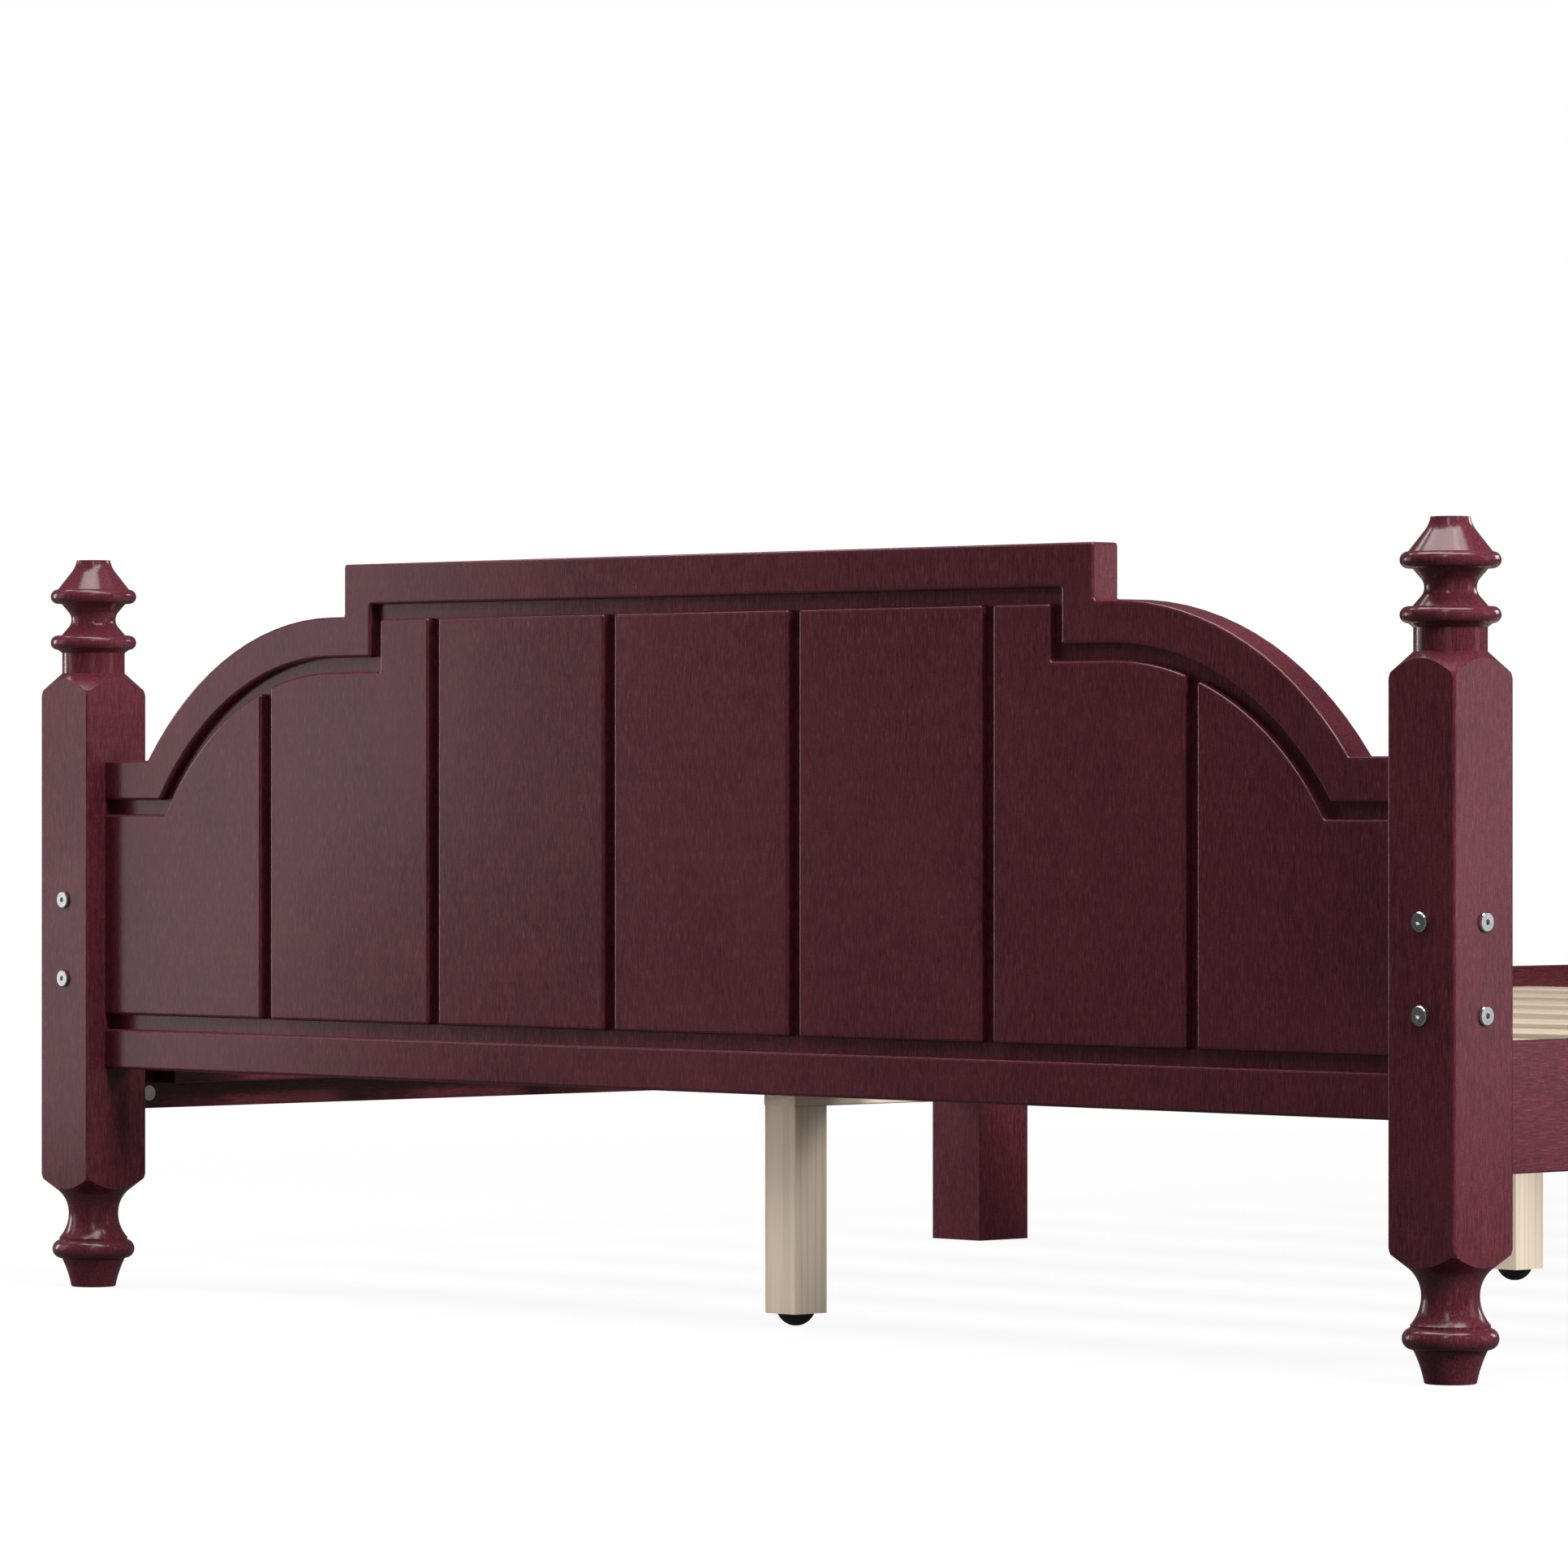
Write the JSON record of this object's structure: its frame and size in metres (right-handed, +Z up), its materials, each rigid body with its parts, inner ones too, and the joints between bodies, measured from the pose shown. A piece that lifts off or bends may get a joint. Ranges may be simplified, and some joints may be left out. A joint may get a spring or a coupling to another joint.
{
  "type": "platform bed",
  "caption": "Queen platform bed with turned corner posts, arched grooved end boards, side rails, slats on ledgers and a centre beam on levelling feet.",
  "frame": {"origin": "on the floor under the middle of the bed", "axes": "+X across the bed to the right seen from the foot, +Y from the footboard to the headboard, +Z up"},
  "size_m": [1.607, 2.181, 1.0429],
  "materials": {
    "stained_wood": "satin",
    "light_wood": "matte",
    "zinc_steel": "satin",
    "black_plastic": "matte"
  },
  "bodies": {
    "frame": {"board_barrel_nuts": "zinc_steel", "board_bolts": "zinc_steel", "board_dowels": "light_wood", "face_bolts": "zinc_steel", "foot_centre_beam": "light_wood", "foot_centre_leg_inner": "light_wood", "foot_centre_leg_outer": "light_wood", "foot_half_rail_left": "stained_wood", "foot_half_rail_right": "stained_wood", "foot_slats": "light_wood", "footboard_bottom_rail": "stained_wood", "footboard_finial_left": "stained_wood", "footboard_finial_right": "stained_wood", "footboard_foot_left": "stained_wood", "footboard_foot_right": "stained_wood", "footboard_plank_1": "stained_wood", "footboard_plank_2": "stained_wood", "footboard_plank_3": "stained_wood", "footboard_plank_4": "stained_wood", "footboard_plank_5": "stained_wood", "footboard_plank_6": "stained_wood", "footboard_plank_7": "stained_wood", "footboard_post_left": "stained_wood", "footboard_post_right": "stained_wood", "footboard_top_rail": "stained_wood", "hanger_bolts": "zinc_steel", "head_centre_beam": "light_wood", "head_centre_leg_inner": "light_wood", "head_centre_leg_outer": "light_wood", "head_half_rail_left": "stained_wood", "head_half_rail_right": "stained_wood", "head_slats": "light_wood", "headboard_bottom_rail": "stained_wood", "headboard_finial_left": "stained_wood", "headboard_finial_right": "stained_wood", "headboard_foot_left": "stained_wood", "headboard_foot_right": "stained_wood", "headboard_plank_1": "stained_wood", "headboard_plank_2": "stained_wood", "headboard_plank_3": "stained_wood", "headboard_plank_4": "stained_wood", "headboard_plank_5": "stained_wood", "headboard_plank_6": "stained_wood", "headboard_plank_7": "stained_wood", "headboard_post_left": "stained_wood", "headboard_post_right": "stained_wood", "headboard_top_rail": "stained_wood", "ledgers_left": "stained_wood", "ledgers_right": "stained_wood", "middle_leg_left": "stained_wood", "middle_leg_right": "stained_wood", "rail_cams": "zinc_steel", "rail_studs": "zinc_steel", "slat_screws": "zinc_steel", "threaded_inserts": "zinc_steel"},
    "foot_levelling_foot_inner_body": {"foot_levelling_foot_inner": "black_plastic"},
    "foot_levelling_foot_outer_body": {"foot_levelling_foot_outer": "black_plastic"},
    "head_levelling_foot_inner_body": {"head_levelling_foot_inner": "black_plastic"},
    "head_levelling_foot_outer_body": {"head_levelling_foot_outer": "black_plastic"}
  },
  "joints": [
    {"name": "foot_levelling_foot_inner_slide", "type": "slide", "parent": "frame", "child": "foot_levelling_foot_inner_body", "axis": [0, 0, -1], "range_m": [0, 0.012]},
    {"name": "foot_levelling_foot_outer_slide", "type": "slide", "parent": "frame", "child": "foot_levelling_foot_outer_body", "axis": [0, 0, -1], "range_m": [0, 0.012]},
    {"name": "head_levelling_foot_inner_slide", "type": "slide", "parent": "frame", "child": "head_levelling_foot_inner_body", "axis": [0, 0, -1], "range_m": [0, 0.012]},
    {"name": "head_levelling_foot_outer_slide", "type": "slide", "parent": "frame", "child": "head_levelling_foot_outer_body", "axis": [0, 0, -1], "range_m": [0, 0.012]}
  ]
}
